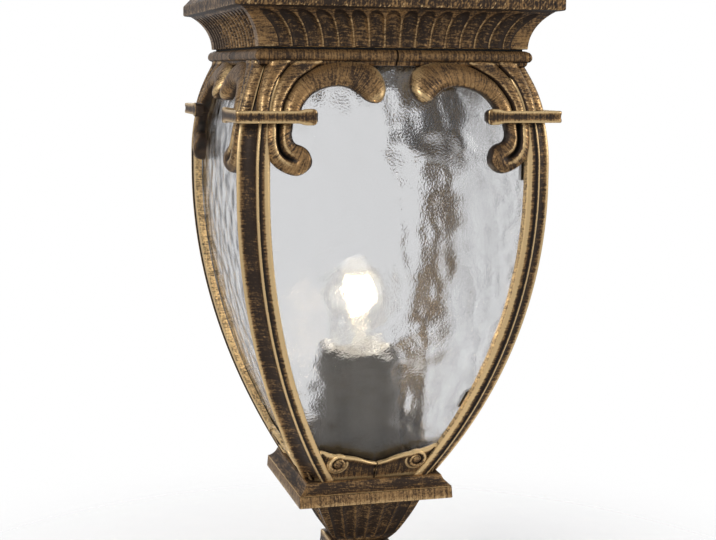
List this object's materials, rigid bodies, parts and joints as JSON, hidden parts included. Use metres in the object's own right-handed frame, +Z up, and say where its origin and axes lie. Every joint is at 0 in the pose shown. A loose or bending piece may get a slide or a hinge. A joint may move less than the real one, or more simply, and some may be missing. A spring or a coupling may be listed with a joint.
{
  "type": "path light",
  "caption": "Square pedestal path light with bowed water-glass panes in a scrolled bronze cage, on a fluted cup.",
  "frame": {"origin": "bottom centre of the base gasket under the square plinth", "axes": "+Z up along the lamp axis, front pane faces -Y, +X to the right seen from the front"},
  "size_m": [0.1954, 0.1954, 0.5649],
  "materials": {
    "bronze_casting": "satin",
    "black_rubber": "matte",
    "zinc_steel": "satin",
    "brass": "satin",
    "water_glass": "gloss",
    "sleeve_enamel": "satin",
    "porcelain": "gloss",
    "terminal_plastic": "satin",
    "cap_nickel": "satin",
    "bulb_clear": "gloss",
    "filament_glow": "satin",
    "brown_wire": "satin",
    "blue_wire": "satin",
    "green_wire": "satin"
  },
  "bodies": {
    "root": {"base_gasket": "black_rubber", "pedestal": "bronze_casting", "terminal_block": "terminal_plastic", "terminal_screws": "zinc_steel", "earth_screw": "brass", "fluted_cup": "bronze_casting", "base_plate": "bronze_casting", "corner_screws": "zinc_steel", "corner_front_left": "bronze_casting", "corner_front_right": "bronze_casting", "corner_rear_left": "bronze_casting", "corner_rear_right": "bronze_casting", "glass_front": "water_glass", "glass_rear": "water_glass", "glass_left": "water_glass", "glass_right": "water_glass", "glass_clips": "zinc_steel", "clip_screws": "zinc_steel", "splice_plates": "zinc_steel", "splice_screws": "zinc_steel", "cross_bar": "zinc_steel", "roof_stud": "zinc_steel", "stud_nuts": "zinc_steel", "roof_gasket": "black_rubber", "roof": "bronze_casting", "finial_washer": "black_rubber", "finial": "bronze_casting", "lamp_sleeve": "sleeve_enamel", "threaded_tube": "zinc_steel", "tube_nuts": "brass", "tube_washers": "zinc_steel", "lampholder_body": "porcelain", "lampholder_shell": "brass", "centre_contact": "brass", "bulb_cap": "cap_nickel", "bulb_glass": "bulb_clear", "bulb_stem": "bulb_clear", "bulb_filaments": "filament_glow", "live_lead": "brown_wire", "neutral_lead": "blue_wire", "earth_lead": "green_wire"}
  },
  "joints": []
}
